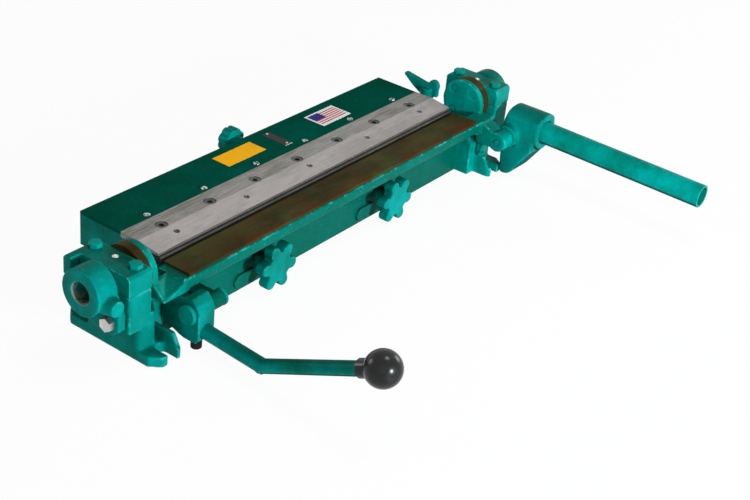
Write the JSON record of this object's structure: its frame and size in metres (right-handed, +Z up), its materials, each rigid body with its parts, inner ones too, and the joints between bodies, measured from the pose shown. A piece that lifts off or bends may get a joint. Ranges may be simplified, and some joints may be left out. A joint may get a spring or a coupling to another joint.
{
  "type": "bench bending brake",
  "caption": "Bench-top sheet metal bending brake with a straight nose bar, a swinging apron on a pipe handle and an eccentric clamp worked by a ball-ended lever.",
  "frame": {"origin": "on the bench plane, plumb below the middle of the bend line", "axes": "+X along the bend line to the handle end, -Y towards the operator, +Z up from the bench"},
  "size_m": [0.846, 0.5493, 0.134],
  "materials": {
    "teal_paint": "gloss enamel over cast iron",
    "cover_paint": "dark enamel",
    "bright_steel": "ground",
    "zinc_steel": "bright plated",
    "black_steel": "black oxide",
    "oiled_steel": "dark oiled",
    "plain_steel": "machined",
    "bronze": "turned",
    "black_plastic": "moulded",
    "black_rubber": "moulded",
    "yellow_print": "printed, bare",
    "striped_print": "printed, red and white stripes with a plain blue corner"
  },
  "bodies": {
    "frame": {"bed_casting": "teal_paint", "lower_jaw": "bright_steel", "jaw_screws": "black_steel", "left_end_frame": "teal_paint", "right_end_frame": "teal_paint", "left_bearing_cap": "teal_paint", "right_bearing_cap": "teal_paint", "cap_bolts": "teal_paint", "oil_cups": "zinc_steel", "bearing_bushes": "bronze", "end_frame_bolts": "teal_paint", "guide_posts": "bright_steel", "shaft_bushes": "bronze", "lever_pivot_bolt": "teal_paint", "pivot_ring": "teal_paint", "front_knob_studs": "bright_steel", "wing_knob_stud": "bright_steel", "apron_rest_screw": "teal_paint"},
    "clamp": {"clamp_beam": "teal_paint", "clamp_yokes": "plain_steel", "yoke_screws": "black_steel", "nose_bar": "bright_steel", "nose_screws": "black_steel", "nose_edge_screws": "black_steel", "top_cover": "cover_paint", "cover_screws": "zinc_steel", "yellow_label": "yellow_print", "small_plate": "zinc_steel", "plate_rivets": "zinc_steel", "striped_label": "striped_print", "rear_knob_stud": "bright_steel"},
    "apron_leaf": {"apron": "teal_paint", "apron_face_plate": "oiled_steel", "face_plate_screws": "black_steel", "left_trunnion": "oiled_steel", "right_trunnion": "oiled_steel", "trunnion_screws": "teal_paint", "stop_collar": "teal_paint", "stop_bolt": "zinc_steel", "right_collar": "teal_paint", "collar_set_screws": "black_steel", "handle_bracket": "teal_paint", "bracket_bolts": "teal_paint", "handle_pipe": "teal_paint", "handle_set_screw": "black_steel"},
    "clamp_lever": {"lever_hub": "teal_paint", "lever_rod": "teal_paint", "ball_knob": "black_plastic", "lever_bumper": "black_rubber", "hub_crank_pin": "bright_steel"},
    "link": {"drag_link": "plain_steel"},
    "eccentric_shaft": {"cross_shaft": "bright_steel", "crank_arm": "plain_steel", "arm_crank_pin": "bright_steel", "clamp_eccentrics": "plain_steel"},
    "left_knob": {"left_front_knob": "teal_paint"},
    "right_knob": {"right_front_knob": "teal_paint"},
    "back_knob": {"rear_knob": "teal_paint"},
    "side_knob": {"wing_knob": "teal_paint"}
  },
  "joints": [
    {"name": "apron_swing", "type": "hinge", "parent": "frame", "child": "apron_leaf", "pos_m": [0, 0, 0.1], "axis": [-1, 0, 0], "range_deg": [0, 135]},
    {"name": "lever_swing", "type": "hinge", "parent": "frame", "child": "clamp_lever", "pos_m": [-0.306, -0.065, 0.053], "axis": [-1, 0, 0], "range_deg": [0, 60]},
    {"name": "link_swing", "type": "hinge", "parent": "clamp_lever", "child": "link", "pos_m": [-0.2835, -0.058, 0.025], "axis": [-1, 0, 0], "range_deg": [-60, 0]},
    {"name": "shaft_turn", "type": "hinge", "parent": "frame", "child": "eccentric_shaft", "pos_m": [0, 0.075, 0.053], "axis": [-1, 0, 0], "range_deg": [0, 60]},
    {"name": "clamp_lift", "type": "slide", "parent": "frame", "child": "clamp", "axis": [0, 0, 1], "range_m": [0, 0.008]},
    {"name": "left_knob_turn", "type": "hinge", "parent": "frame", "child": "left_knob", "pos_m": [-0.14, -0.046, 0.036], "axis": [0, -1, 0], "range_deg": [-180, 180]},
    {"name": "right_knob_turn", "type": "hinge", "parent": "frame", "child": "right_knob", "pos_m": [0.114, -0.046, 0.036], "axis": [0, -1, 0], "range_deg": [-180, 180]},
    {"name": "back_knob_turn", "type": "hinge", "parent": "clamp", "child": "back_knob", "pos_m": [-0.005, 0.15, 0.093], "axis": [0, 1, 0], "range_deg": [-180, 180]},
    {"name": "side_knob_turn", "type": "hinge", "parent": "frame", "child": "side_knob", "pos_m": [0.331, 0.058, 0.1], "axis": [0, 0, 1], "range_deg": [-30, 30]}
  ],
  "couplings": [
    {"joint": "link_swing", "follows": "lever_swing", "ratio": -1},
    {"joint": "shaft_turn", "follows": "lever_swing", "ratio": 1},
    {"joint": "clamp_lift", "follows": "lever_swing", "m_per_rad": 0.00763}
  ]
}
